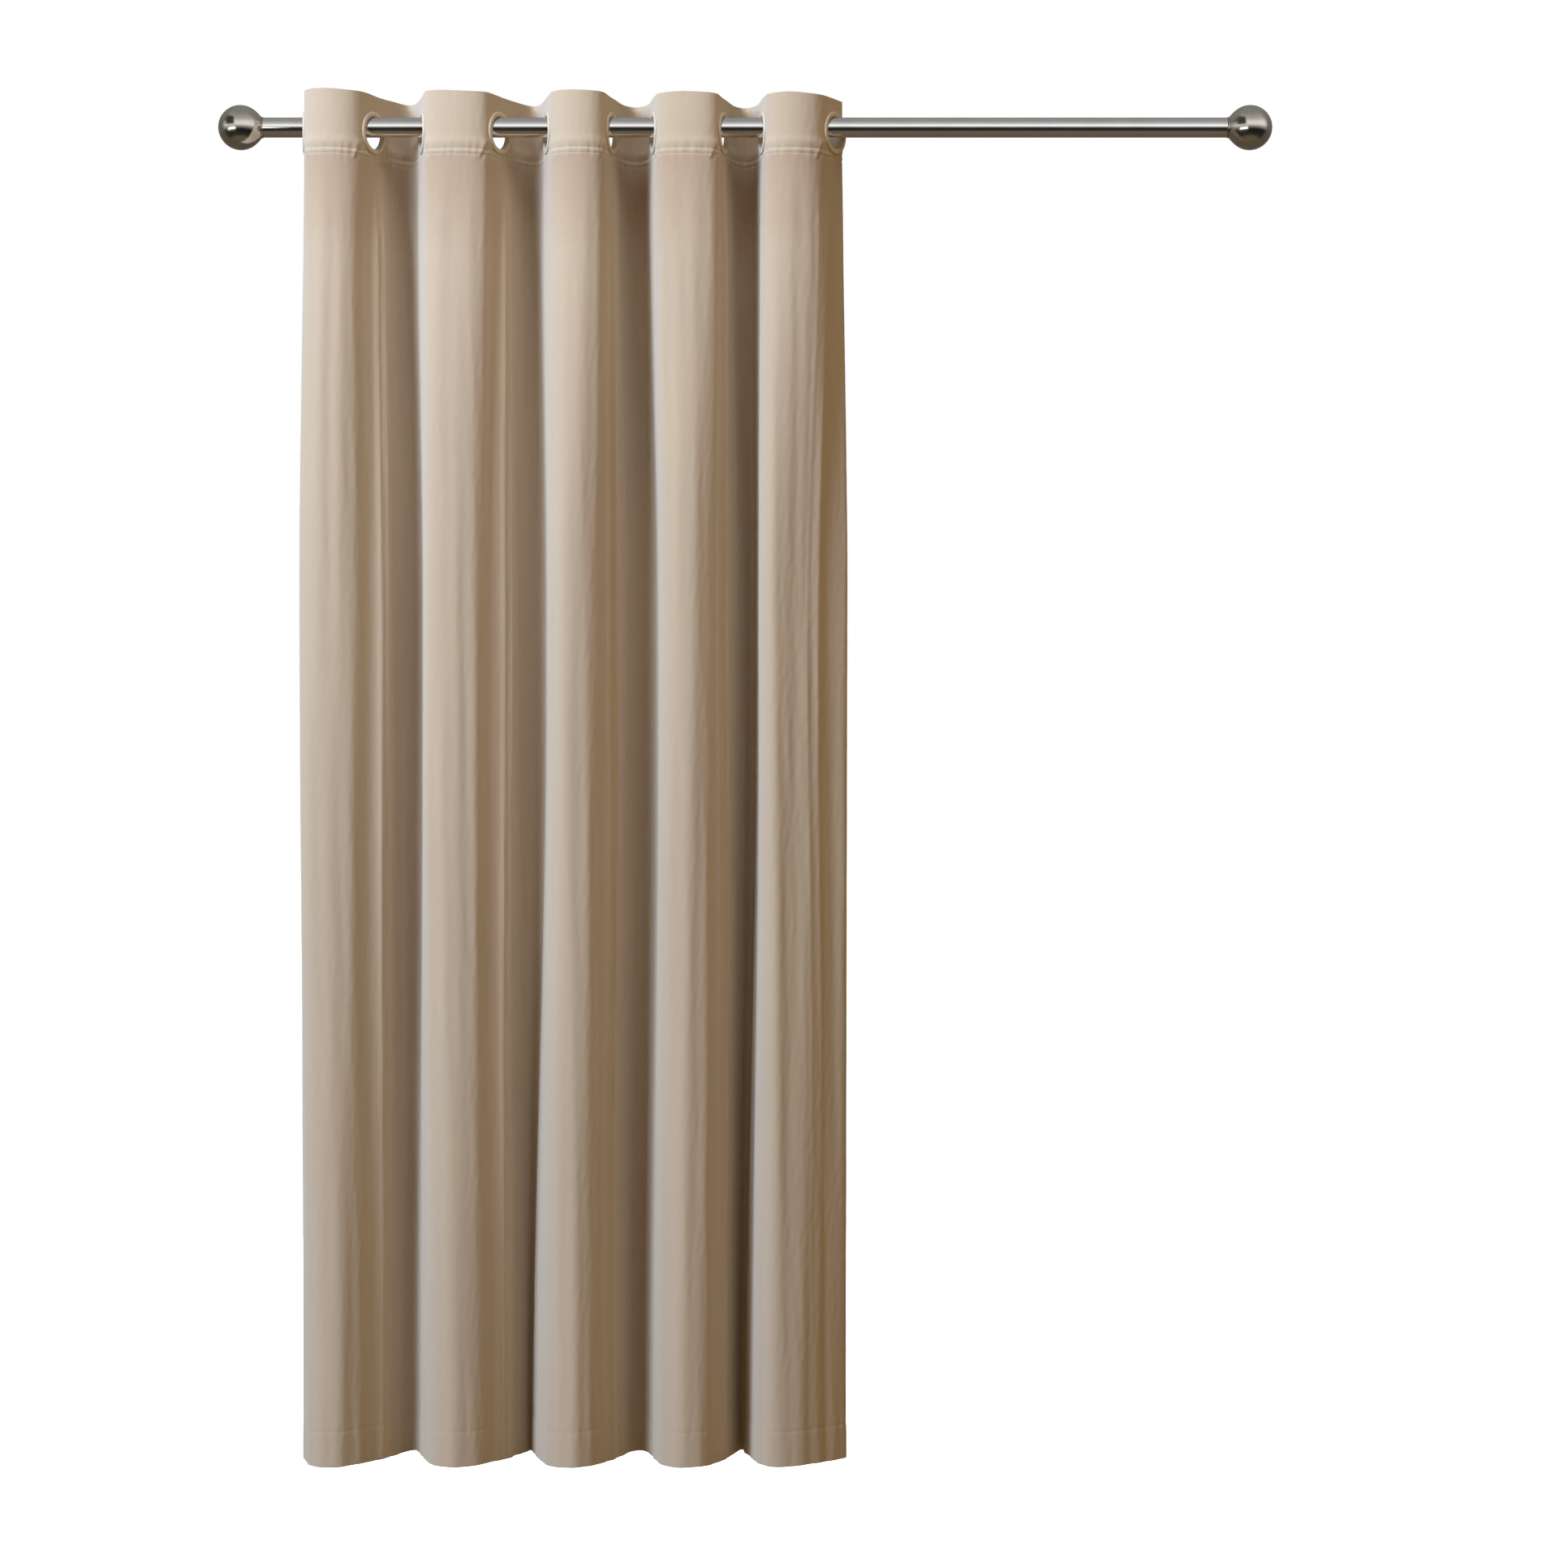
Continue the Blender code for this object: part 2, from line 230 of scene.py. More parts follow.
def painted_shade_under_heading(nodes, links, place):
    """Painted shade: the cloth is painted darker and browner just under the heading, where shade falls
    below it, and the painted shade clears unevenly down the cloth.
    """
    reach = 0.13
    split = nodes.new("ShaderNodeSeparateXYZ")
    links.new(place, split.inputs[0])
    seam = PANEL_TOP - SECOND_SEAM_BELOW_TOP + UV_SHIFT[1]
    drop = math_node(nodes, links, "SUBTRACT", seam, split.outputs["Y"])
    uneven = noise(nodes, links, stretched(nodes, links, place, (30.0, 20.0, 1.0)), 1.0, 3.0, 0.6)
    drop = math_node(nodes, links, "MULTIPLY", drop, math_node(nodes, links, "ADD", uneven, 0.5))
    share = math_node(nodes, links, "DIVIDE", drop, reach)
    # Painted shade colours: darkest and brownest just below the seam, plain again by the band's reach.
    stops = ((0.0, grey(1.0)), (0.02, (0.78, 0.60, 0.38)), (0.35, (0.86, 0.74, 0.58)), (1.0, grey(1.0)))
    return ramp(nodes, links, share, stops)


def velvet_material(name, dark, middle, light, thread, sheen_tint):
    """Short pile: faintly mottled where it has been brushed, with a fine grain, stitched seams whose
    darker thread is partly painted shade, and painted shade under the heading.
    """
    material, nodes, links = new_material(name)
    shader = shader_of(nodes)
    place = coordinates(nodes, "UV")
    patches = noise(nodes, links, stretched(nodes, links, place, (14.0, 3.5, 1.0)), 1.0, 3.0, 0.5)
    pile = noise(nodes, links, stretched(nodes, links, place, (1500.0, 1100.0, 1.0)), 1.0, 2.0, 0.7)
    patch_colour = ramp(nodes, links, patches, ((0.30, dark), (0.50, middle), (0.70, light)))
    pile_colour = ramp(nodes, links, pile, ((0.30, grey(0.93)), (0.70, grey(1.05))))
    colour = mix_colour(nodes, links, 1.0, patch_colour, pile_colour, "MULTIPLY")
    # Painted shade under the heading, multiplied into the cloth's colour.
    colour = mix_colour(nodes, links, 1.0, colour, painted_shade_under_heading(nodes, links, place), "MULTIPLY")
    stitch = stitches(nodes, links, place)
    # The stitch dashes take the darker thread colour: partly the thread's own colour, partly painted shade
    # where the stitches sink into the pile.
    links.new(mix_colour(nodes, links, stitch, colour, thread), shader.inputs["Base Color"])
    gloss = ramp(nodes, links, patches, ((0.3, grey(0.92)), (0.7, grey(0.80))))
    links.new(gloss, shader.inputs["Roughness"])
    shader.inputs["Specular IOR Level"].default_value = 0.15
    shader.inputs["Sheen Weight"].default_value = 0.55
    shader.inputs["Sheen Roughness"].default_value = 1.0
    shader.inputs["Sheen Tint"].default_value = (*sheen_tint, 1.0)
    normal = bump(nodes, links, pile, 0.0003, 0.25)
    links.new(bump(nodes, links, stitch, -0.0006, 0.6, normal), shader.inputs["Normal"])
    return material


def woven_material(name, dark, light):
    """A plain weave of stiff yarns at 0.8 mm, for the eyelet tape."""
    material, nodes, links = new_material(name)
    shader = shader_of(nodes)
    place = coordinates(nodes, "UV")
    waves = []
    for direction in ("X", "Y"):
        wave = nodes.new("ShaderNodeTexWave")
        wave.bands_direction = direction
        wave.inputs["Scale"].default_value = 620.0
        wave.inputs["Distortion"].default_value = 0.6
        links.new(place, wave.inputs["Vector"])
        waves.append(wave.outputs["Fac"])
    weave = math_node(nodes, links, "MULTIPLY", waves[0], waves[1])
    slubs = noise(nodes, links, stretched(nodes, links, place, (60.0, 400.0, 1.0)), 1.0)
    colour = ramp(nodes, links, weave, ((0.0, dark), (0.6, light)))
    shade = ramp(nodes, links, slubs, ((0.3, grey(0.88)), (0.7, grey(1.06))))
    links.new(mix_colour(nodes, links, 1.0, colour, shade, "MULTIPLY"), shader.inputs["Base Color"])
    shader.inputs["Roughness"].default_value = 0.85
    links.new(bump(nodes, links, weave, 0.0005, 0.5), shader.inputs["Normal"])
    return material


def metal_material(name, base, warm, roughness, brushed):
    """Polished plate: faint draw lines along the piece, haze and small smudges in the gloss."""
    material, nodes, links = new_material(name)
    shader = shader_of(nodes)
    place = coordinates(nodes, "Object")
    lines = noise(nodes, links, stretched(nodes, links, place, brushed), 1.0, 3.0, 0.6)
    smudges = noise(nodes, links, place, 38.0, 4.0, 0.62)
    colour = ramp(nodes, links, smudges, ((0.35, warm), (0.65, base)))
    links.new(colour, shader.inputs["Base Color"])
    gloss = ramp(nodes, links, smudges, ((0.4, grey(roughness)), (0.72, grey(roughness + 0.07))))
    links.new(gloss, shader.inputs["Roughness"])
    shader.inputs["Metallic"].default_value = 1.0
    links.new(bump(nodes, links, lines, 0.0001, 0.05), shader.inputs["Normal"])
    return material


def plastic_material(name, base, edge, roughness, grain):
    """Moulded satin plastic with a fine texture and slight handling wear."""
    material, nodes, links = new_material(name)
    shader = shader_of(nodes)
    place = coordinates(nodes, "Object")
    tone = noise(nodes, links, place, 90.0, 3.0)
    fine = noise(nodes, links, place, grain, 2.0)
    links.new(ramp(nodes, links, tone, ((0.3, edge), (0.7, base))), shader.inputs["Base Color"])
    gloss = ramp(nodes, links, tone, ((0.3, grey(roughness)), (0.7, grey(roughness + 0.12))))
    links.new(gloss, shader.inputs["Roughness"])
    links.new(bump(nodes, links, fine, 0.0002, 0.25), shader.inputs["Normal"])
    return material


def make_materials():
    velvet = velvet_material(
        "champagne_velvet",
        dark=(0.315, 0.205, 0.106),
        middle=(0.330, 0.215, 0.113),
        light=(0.345, 0.226, 0.120),
        # Darker than the pile: partly the thread's own colour, partly painted shade of the sunk stitches.
        thread=(0.290, 0.180, 0.090),
        sheen_tint=(1.0, 0.97, 0.91),
    )
    tape = woven_material("eyelet_tape", dark=(0.40, 0.35, 0.28), light=(0.62, 0.57, 0.48))
    eyelet = plastic_material(
        "eyelet_plastic", base=(0.62, 0.53, 0.42), edge=(0.56, 0.47, 0.36), roughness=0.34, grain=1600.0
    )
    pole = metal_material(
        "pole_nickel",
        base=(0.88, 0.87, 0.85),
        warm=(0.84, 0.82, 0.79),
        roughness=0.075,
        brushed=(1.5, 900.0, 900.0),
    )
    ball = metal_material(
        "finial_nickel",
        base=(0.70, 0.67, 0.60),
        warm=(0.62, 0.58, 0.51),
        roughness=0.13,
        brushed=(40.0, 600.0, 600.0),
    )
    steel = metal_material(
        "zinc_steel",
        base=(0.70, 0.71, 0.72),
        warm=(0.62, 0.62, 0.60),
        roughness=0.22,
        brushed=(200.0, 40.0, 40.0),
    )
    nylon = plastic_material(
        "black_nylon", base=(0.020, 0.020, 0.021), edge=(0.030, 0.030, 0.030), roughness=0.45, grain=1200.0
    )
    return {
        "velvet": velvet,
        "tape": tape,
        "eyelet": eyelet,
        "pole": pole,
        "ball": ball,
        "steel": steel,
        "nylon": nylon,
    }


# Turned pieces

SHARP_DEGREES = 40
POLE_STEPS = 128
POLE_STATIONS = 12
FINIAL_STEPS = 96
EYELET_STEPS = 72
STUD_STEPS = 40


def add_piece(name, vertices, faces, material, body=None):
    mesh = bpy.data.meshes.new(name)
    mesh.from_pydata([tuple(v) for v in vertices], [], faces)
    mesh.materials.append(material)
    mesh.shade_smooth()
    piece = bpy.data.objects.new(name, mesh)
    bpy.context.scene.collection.objects.link(piece)
    if body:
        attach(piece, body)
    return piece


def turned(name, profile, steps, centre, axis, material, body):
    """Turns (radius, height) points round a level axis. A point on the axis becomes one vertex."""
    axis = np.array(axis, float)
    third = np.cross(axis, UP)
    closed = profile[0] == profile[-1]
    points = profile[:-1] if closed else profile
    rings = []
    vertices = []
    for radius, height in points:
        if radius == 0.0:
            rings.append([len(vertices)])
            vertices.append(centre + axis * height)
            continue
        start = len(vertices)
        for i in range(steps):
            angle = math.tau * i / steps
            out = UP * math.cos(angle) + third * math.sin(angle)
            vertices.append(centre + axis * height + radius * out)
        rings.append(list(range(start, start + steps)))
    faces = []
    pairs = list(zip(rings, rings[1:]))
    if closed:
        pairs.append((rings[-1], rings[0]))
    for first, second in pairs:
        for i in range(steps):
            j = (i + 1) % steps
            face = []
            for ring, step in ((first, i), (second, i), (second, j), (first, j)):
                corner = ring[step % len(ring)]
                if corner not in face:
                    face.append(corner)
            if len(face) > 2:
                faces.append(face)
    piece = add_piece(name, vertices, faces, material, body)
    piece.data.set_sharp_from_angle(angle=math.radians(SHARP_DEGREES))
    return piece


def arc(centre_radius, centre_height, radius, start, end, count):
    """Profile points on an arc, angles in degrees from the outward radius towards +height."""
    points = []
    for i in range(count + 1):
        angle = math.radians(start + (end - start) * i / count)
        out, up = radius * math.cos(angle), radius * math.sin(angle)
        points.append((centre_radius + out, centre_height + up))
    return points


def build_pole(materials):
    edge = 0.0004
    inner = POLE_RADIUS - POLE_WALL
    outer_right = arc(POLE_RADIUS - edge, POLE_RIGHT - edge, edge, 90, 0, 4)
    outer_left = arc(POLE_RADIUS - edge, POLE_LEFT + edge, edge, 0, -90, 4)
    side = []
    for i in range(1, POLE_STATIONS):
        side.append((POLE_RADIUS, POLE_RIGHT + (POLE_LEFT - POLE_RIGHT) * i / POLE_STATIONS))
    start = (inner, POLE_RIGHT)
    profile = [start] + outer_right + side + outer_left + [(inner, POLE_LEFT), start]
    pole = turned("pole", profile, POLE_STEPS, np.zeros(3), (1, 0, 0), materials["pole"], "pole")
    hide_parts("pole_tube")
    for name in ("left_pole_insert", "right_pole_insert"):
        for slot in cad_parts[name].material_slots:
            slot.material = materials["nylon"]


def ball_outline():
    """From the ball's far end round to its taper, which steepens towards the mouth, then its bore."""
    mouth = COLLAR_LENGTH + FIT_GAP
    centre = mouth + BALL_CENTRE_FROM_MOUTH
    mouth_radius = COLLAR_RADIUS - COLLAR_LENGTH / 4
    taper = math.radians(180 - BALL_TAPER_DEGREES)
    points = []
    round_steps = 40
    taper_steps = 12
    for i in range(round_steps + 1):
        angle = taper * i / round_steps
        points.append((BALL_RADIUS * math.sin(angle), centre + BALL_RADIUS * math.cos(angle)))
    radius, height = points[-1]
    first_slope = math.tan(math.radians(90 - BALL_TAPER_DEGREES))
    last_slope = math.tan(math.radians(BALL_MOUTH_SLOPE))
    run = (radius - mouth_radius - first_slope * (height - mouth)) / (last_slope - first_slope)
    corner = (mouth_radius + last_slope * run, mouth + run)
    for i in range(1, taper_steps + 1):
        share = i / taper_steps
        a, b, c = (1 - share) ** 2, 2 * share * (1 - share), share**2
        taper_radius = a * radius + b * corner[0] + c * mouth_radius
        points.append((taper_radius, a * height + b * corner[1] + c * mouth))
    bore = STUD_RADIUS + FIT_GAP
    depth = mouth + BALL_BORE_DEPTH
    return points + [(bore, mouth), (bore, depth), (0.0, depth)]


def thread_outline(low, high):
    """A screw thread's ridges, as rings a pitch apart."""
    root = STUD_RADIUS - THREAD_DEPTH
    points = [(0.0, high), (root, high)]
    count = int((high - low) / THREAD_PITCH)
    for i in range(count):
        top = high - i * THREAD_PITCH
        points.append((root, top - THREAD_PITCH * 0.1))
        points.append((STUD_RADIUS, top - THREAD_PITCH * 0.45))
        points.append((STUD_RADIUS, top - THREAD_PITCH * 0.55))
        points.append((root, top - THREAD_PITCH * 0.9))
    return points + [(root, low), (0.0, low)]


def collar_outline():
    """A ring with a rounded rim, from the stud's clearance outwards."""
    round_edge = COLLAR_LENGTH * 0.42
    middle = (COLLAR_LENGTH + FIT_GAP) / 2
    inner = STUD_RADIUS + FIT_GAP
    rim = arc(COLLAR_RADIUS - round_edge, middle, round_edge, 90, -90, 12)
    start = (inner, middle + round_edge)
    return [start] + rim + [(inner, middle - round_edge), start]


def build_finial(side, outward, materials):
    end = np.array((POLE_RIGHT if outward > 0 else POLE_LEFT, 0.0, 0.0))
    axis = (outward, 0, 0)
    body = f"{side}_finial"
    ball = turned(f"{side}_ball", ball_outline(), FINIAL_STEPS, end, axis, materials["ball"], body)
    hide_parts(f"{side}_finial_ball")
    low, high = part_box(f"{side}_finial_stud")
    reach_in_pole = min(abs(corner[0] - end[0]) for corner in (low, high))
    thread = thread_outline(-reach_in_pole, COLLAR_LENGTH + STUD_REACH_IN_BALL)
    stud = turned(f"{side}_stud", thread, STUD_STEPS, end, axis, materials["steel"], body)
    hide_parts(f"{side}_finial_stud")
    travel = f"{side}_finial_travel"
    collar = turned(f"{side}_collar", collar_outline(), FINIAL_STEPS, end, axis, materials["ball"], travel)
    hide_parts(f"{side}_finial_collar")


# Eyelets


def way(degrees):
    angle = math.radians(degrees)
    return np.array((math.cos(angle), math.sin(angle), 0.0))


def face_of(direction):
    return np.array((direction[1], -direction[0], 0.0))


def ring_profiles():
    """The show ring with its barrel, and the snap ring behind it, as closed outlines."""
    seat = CLOTH_THICKNESS / 2 + FIT_GAP
    back_seat = -(CLOTH_THICKNESS / 2 + 2 * FIT_GAP + TAPE_THICKNESS)
    hole = EYELET_HOLE_RADIUS
    outer = EYELET_FLANGE_RADIUS
    middle = (hole + outer) / 2
    half = (outer - hole) / 2
    thick = EYELET_FLANGE_THICKNESS
    barrel = hole + EYELET_BARREL_WALL
    dome = []
    for i in range(17):
        angle = math.pi * i / 16
        crown = (thick - EYELET_SHOULDER) * math.sin(angle) ** EYELET_CROWN
        dome.append((middle - half * math.cos(angle), seat + EYELET_SHOULDER + crown))
    back = back_seat - thick
    show = dome + [(outer, seat), (barrel, seat), (barrel, back), (hole, back), dome[0]]
    inner = barrel + FIT_GAP
    back_middle = (inner + outer) / 2
    back_half = (outer - inner) / 2
    snap = [(inner, back_seat), (outer, back_seat)]
    for i in range(13):
        angle = math.pi * i / 12
        crown = (thick - SNAP_RING_SHOULDER) * math.sin(angle) ** EYELET_CROWN
        depth = back_seat - SNAP_RING_SHOULDER - crown
        snap.append((back_middle + back_half * math.cos(angle), depth))
    snap.append(snap[0])
    return show, snap


def build_eyelets(places, materials):
    show, snap = ring_profiles()
    for number in range(EYELETS):
        body = f"eyelet_{number + 1:02d}"
        centre = np.array((places[number], 0.0, EYELET_Z))
        axis = face_of(way(CLOTH_HEADINGS[number]))
        for kind, profile in (("front", show), ("back", snap)):
            name = f"{body}_{kind}"
            ring = turned(name, profile, EYELET_STEPS, centre, axis, materials["eyelet"], body)
            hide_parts(f"{body}_{kind}_ring")


# The panel's plan at a few heights

RETURN_STEPS = 12


def smooth(x, low, high):
    t = np.clip((x - low) / (high - low), 0.0, 1.0)
    return t * t * (3 - 2 * t)


def hump(x, centre, width):
    return np.exp(-(((x - centre) / width) ** 2))


def crest(start, start_way, end, end_way, length, count=240):
    """An evenly spaced curve of this length between two places, found by halving its handles' range."""
    t = np.linspace(0, 1, count)[:, None]
    low, high = 0.0, length
    for _ in range(36):
        handle = (low + high) / 2
        b = start + start_way * handle
        c = end - end_way * handle
        points = start * (1 - t) ** 3 + b * 3 * t * (1 - t) ** 2 + c * 3 * t**2 * (1 - t) + end * t**3
        steps = np.linalg.norm(np.diff(points, axis=0), axis=1)
        if steps.sum() > length:
            high = handle
        else:
            low = handle
    walked = np.concatenate(([0.0], np.cumsum(steps)))
    even = np.linspace(0, walked[-1], count)
    return np.stack([np.interp(even, walked, points[:, k]) for k in range(3)], axis=1)


def eyelet_places():
    """Along the pole, as the CAD spaces them: two flat zones and the crest's span for each pleat."""
    places = [POLE_LEFT + FIRST_EYELET_FROM_END]
    for left, right, span in zip(CLOTH_HEADINGS, CLOTH_HEADINGS[1:], CREST_SPANS):
        flats = FLAT_ZONE * (way(left)[0] + way(right)[0])
        places.append(places[-1] + flats + CREST_CLOTH * span)
    return places


def plan_curve(places, headings, flat, depth_shift, s_values):
    """x and y along the cloth at one height, from its eyelet places and its way through each."""
    s_known = []
    known = []
    first = np.array((places[0], depth_shift[0], 0.0))
    first_way = way(headings[0])
    margin = CLOTH_BESIDE_END_EYELETS
    back_way = way(LEFT_EDGE_HEADING)
    for i in range(RETURN_STEPS + 1):
        share = 1 - i / RETURN_STEPS
        turn = first_way * (1 - 0.5 * share) + back_way * 0.5 * share
        s_known.append(-margin * share)
        known.append(first - turn * margin * share)
    for i in range(len(places) - 1):
        start = np.array((places[i], depth_shift[i], 0.0))
        end = np.array((places[i + 1], depth_shift[i + 1], 0.0))
        a, b = way(headings[i]), way(headings[i + 1])
        length = CLOTH_BETWEEN_EYELETS - 2 * flat
        points = crest(start + a * flat, a, end - b * flat, b, length)
        s_start = i * CLOTH_BETWEEN_EYELETS + flat
        s_known.extend(np.linspace(s_start, s_start + length, len(points)))
        known.extend(points)
    last_s = (len(places) - 1) * CLOTH_BETWEEN_EYELETS
    last = np.array((places[-1], depth_shift[-1], 0.0))
    last_way = way(headings[-1])
    out_way = way(RIGHT_EDGE_HEADING)
    for i in range(RETURN_STEPS + 1):
        share = i / RETURN_STEPS
        bend = smooth(share, 0.35, 1.0)
        s_known.append(last_s + margin * share)
        known.append(last + (last_way * (1 - bend) + out_way * bend) * margin * share)
    known = np.array(known)
    order = np.argsort(s_known, kind="stable")
    s_known = np.array(s_known)[order]
    known = known[order]
    return np.interp(s_values, s_known, known[:, 0]), np.interp(s_values, s_known, known[:, 1])


S_STEP = 0.0005
LAST_EYELET_S = (EYELETS - 1) * CLOTH_BETWEEN_EYELETS
PANEL_END_S = LAST_EYELET_S + CLOTH_BESIDE_END_EYELETS
S_TABLE = np.arange(-CLOTH_BESIDE_END_EYELETS, PANEL_END_S + S_STEP, S_STEP)


def smoothed(values, width):
    """Rounds off the kinks of a table along the cloth over about this distance."""
    count = max(3, int(width / S_STEP) | 1)
    kernel = np.hanning(count + 2)[1:-1]
    kernel /= kernel.sum()
    before = 2 * values[0] - values[count // 2 : 0 : -1]
    after = 2 * values[-1] - values[-2 : -count // 2 - 1 : -1]
    padded = np.concatenate((before, values, after))
    return np.convolve(padded, kernel, mode="valid")


# How the eyelet lines wander below the heading, millimetres along the pole and towards the wall, and the
# cloth's way through them
MIDDLE_SHIFT_X = (-5, 4, 3, 0, 3, 2, 8, 1, -3, 0)
MIDDLE_SHIFT_Y = (0, 3, 0, 3, 0, 2, 0, 3, 0, 2)
MIDDLE_HEADINGS = (-86, 54, -83, 54, -84, 64, -85, 66, -86, 34)
HEM_SHIFT_X = (0, 5, 5, 2, -8, 0, 3, 0, -10, 0)
HEM_SHIFT_Y = (0, 4, 0, 4, -2, 3, 0, 4, -2, 2)
HEM_HEADINGS = (-76, 58, -74, 58, -74, 66, -78, 70, -76, 40)
# How far the cloth runs straight beside each eyelet line, and over what length the plan is rounded off
MIDDLE_FLAT = 0.024
HEM_FLAT = 0.012
HEADING_ROUNDING = 0.004
MIDDLE_ROUNDING = 0.018
HEM_ROUNDING = 0.014
# The soft ridge under each right-hand eyelet: millimetres right of the eyelet, half width and height
RIDGES = ((11, 12, 7.0), (11, 12, 7.0), (6, 5, 3.4), (4, 6, 4.2), (-30, 14, 2.4))


def plan_tables(places):
    """Smoothed x and y tables along the cloth at the heading, mid-drop and hem."""
    still = [0.0] * EYELETS
    middle = [x + shift / 1000 for x, shift in zip(places, MIDDLE_SHIFT_X)]
    hem = [x + shift / 1000 for x, shift in zip(places, HEM_SHIFT_X)]
    levels = (
        (places, CLOTH_HEADINGS, FLAT_ZONE, still, HEADING_ROUNDING),
        (middle, MIDDLE_HEADINGS, MIDDLE_FLAT, [y / 1000 for y in MIDDLE_SHIFT_Y], MIDDLE_ROUNDING),
        (hem, HEM_HEADINGS, HEM_FLAT, [y / 1000 for y in HEM_SHIFT_Y], HEM_ROUNDING),
    )
    tables = []
    for level_places, headings, flat, shift, rounding in levels:
        x, y = plan_curve(level_places, headings, flat, shift, S_TABLE)
        tables.append((smoothed(x, rounding), smoothed(y, rounding)))
    return tables


def waves(s, z, seed, count, s_length, z_length):
    """Smooth random waves of about these lengths, between -1 and 1."""
    random = np.random.default_rng(seed)
    total = np.zeros(np.broadcast(s, z).shape)
    for _ in range(count):
        along = random.uniform(0.6, 1.5) / s_length
        down = random.uniform(-1.2, 1.2) / z_length
        total = total + np.sin(math.tau * (s * along + z * down) + random.uniform(0, math.tau))
    return total / count**0.5 * 0.6


class Panel:
    """The cloth's middle surface: a place for every (s, z)."""

    def __init__(self, places):
        self.tables = plan_tables(places)
        self.eyelet_s = [i * CLOTH_BETWEEN_EYELETS for i in range(EYELETS)]
        self.heading_seam = PANEL_TOP - HEADING_SEAM_BELOW_TOP
        self.second_seam = PANEL_TOP - SECOND_SEAM_BELOW_TOP
        self.hem_seam = PANEL_BOTTOM + HEM_HEIGHT

    def plan(self, s, z):
        to_middle = smooth(z, self.heading_seam + 0.004, MID_DROP_Z)
        to_hem = smooth(z, HEM_PLAN_STARTS_Z, PANEL_BOTTOM)
        weights = (1 - to_middle, to_middle * (1 - to_hem), to_middle * to_hem)
        x = sum(w * np.interp(s, S_TABLE, table[0]) for w, table in zip(weights, self.tables))
        y = sum(w * np.interp(s, S_TABLE, table[1]) for w, table in zip(weights, self.tables))
        return x, y

    def relief(self, s, z):
        """Height of the soft folds and puckers over the plain plan surface, towards the room."""
        below = smooth(z, self.second_seam + 0.012, self.second_seam - 0.10)
        height = 0.0010 * waves(s, z, 3, 9, 0.050, 1.6) * below
        height = height + 0.0006 * waves(s, z, 5, 9, 0.030, 1.2) * below
        height = height + 0.0002 * waves(s, z, 7, 12, 0.020, 0.16) * below
        height = height + 0.00012 * waves(s, z, 11, 14, 0.012, 0.030)
        for fold, ridge in enumerate(RIDGES):
            eyelet = self.eyelet_s[2 * fold + 1]
            height = height + self.ridge(s - eyelet, z, fold, [value / 1000 for value in ridge])
        for i, eyelet in enumerate(self.eyelet_s):
            height = height + self.eyelet_creases(s - eyelet, z, 1 if i % 2 else -1)
        return height + self.seams(s, z)

    def ridge(self, s, z, fold, size):
        """Below a right-hand eyelet the cloth hangs in a soft ridge, with a groove on its crest side."""
        place, width, rise = size
        wander = 0.0025 * np.sin(3.1 * z + 1.7 * fold) + 0.0015 * np.sin(7.3 * z + 0.9 * fold)
        away = s - place - wander
        below = smooth(z, self.second_seam + 0.004, self.second_seam - 0.12)
        fade = 1 - 0.65 * smooth(z, -0.9, PANEL_BOTTOM)
        height = rise * hump(away, 0.0, width)
        for line in (-0.65, 0.45):
            height = height + 0.30 * rise * hump(away, line * width, 0.26 * width)
        height = height - 0.40 * rise * hump(away, -2.6 * width, 1.1 * width)
        return height * below * fade

    def eyelet_creases(self, s, z, crest_side):
        """Short creases drag the heading from the eyelet down towards the crest and the back fold."""
        drop = EYELET_Z - 0.010 - z
        height = np.zeros(np.broadcast(s, z).shape)
        creases = ((0.75, 0.0265, 0.0007), (1.10, 0.0215, 0.0005), (-0.55, 0.0240, 0.0005))
        for lean, start, size in creases:
            side = -crest_side if lean > 0 else crest_side
            line = side * (start + abs(lean) * np.clip(drop, 0, None) * 0.5)
            near = smooth(drop, 0.002, 0.010) * (1 - smooth(drop, 0.020, 0.034))
            height = height - size * hump(s, line, 0.0032) * near
            height = height + 0.9 * size * hump(s, line + side * 0.0050, 0.0032) * near
        away = np.hypot(s, z - EYELET_Z)
        return height * smooth(away, EYELET_FLANGE_RADIUS - 0.001, EYELET_FLANGE_RADIUS + 0.003)

    def seams(self, s, z):
        """Stitch lines sink into the pile, puff the cloth between them and gather it in small puckers."""
        pucker = waves(s, z * 0 + 0.3, 17, 10, 0.011, 10.0)
        height = 0.0005 * hump(z, (self.heading_seam + self.second_seam) / 2, 0.0030)
        height = height + 0.0010 * hump(z, self.heading_seam + 0.0080, 0.0060)
        for line, depth, pull in (
            (self.heading_seam, 0.0004, 0.0004),
            (self.second_seam, 0.0004, 0.0003),
            (self.hem_seam, 0.0002, 0.0002),
        ):
            away = z - line
            height = height - depth * hump(z, line, 0.0018)
            height = height + pull * pucker * np.exp(-((away / 0.009) ** 2))
        for edge in (SIDE_HEM - CLOTH_BESIDE_END_EYELETS, PANEL_END_S - SIDE_HEM):
            height = height - 0.0006 * np.exp(-(((s - edge) / 0.0012) ** 2))
        for eyelet in self.eyelet_s:
            away = np.hypot(s - eyelet, z - EYELET_Z)
            height = height * smooth(away, EYELET_FLANGE_RADIUS - 0.001, EYELET_FLANGE_RADIUS + 0.003)
        return height

